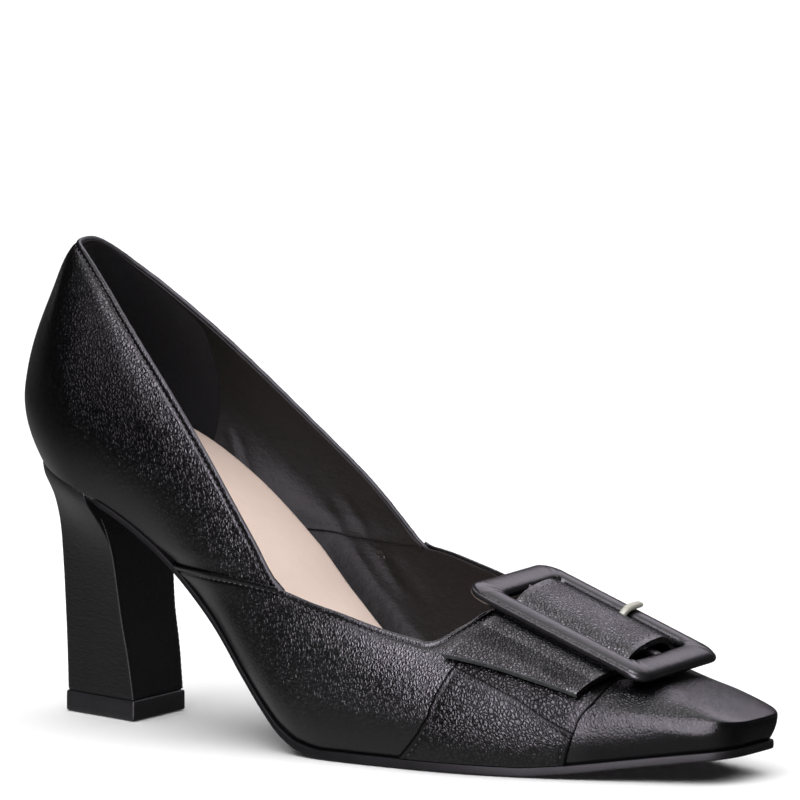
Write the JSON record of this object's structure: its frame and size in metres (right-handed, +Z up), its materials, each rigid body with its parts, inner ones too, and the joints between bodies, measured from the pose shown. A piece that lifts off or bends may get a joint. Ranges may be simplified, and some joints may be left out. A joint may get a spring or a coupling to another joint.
{
  "type": "formal shoe",
  "caption": "black grained leather court pump with a slim block heel, square toe and a wide strap through a leather-covered buckle on the vamp",
  "frame": {"origin": "middle of the shoe's length and width, on the floor", "axes": "+X runs from the heel to the toe, +Y to the inner side of the foot, +Z up"},
  "size_m": [0.2294, 0.0802, 0.1294],
  "materials": {
    "upper_leather": "black grained leather, satin",
    "insole_sock": "smooth pale beige sock",
    "outsole_black": "black, smooth edge",
    "heel_leather": "black grained leather cover",
    "lift_rubber": "black, matte",
    "strap_leather": "black grained leather, satin",
    "buckle_leather": "black leather cover, glossy",
    "prong_metal": "pale warm silver"
  },
  "bodies": {
    "root": {"upper": "upper_leather", "insole": "insole_sock", "outsole": "outsole_black", "heel": "heel_leather", "top_lift": "lift_rubber", "strap": "strap_leather", "buckle": "buckle_leather", "prong": "prong_metal"}
  },
  "joints": []
}
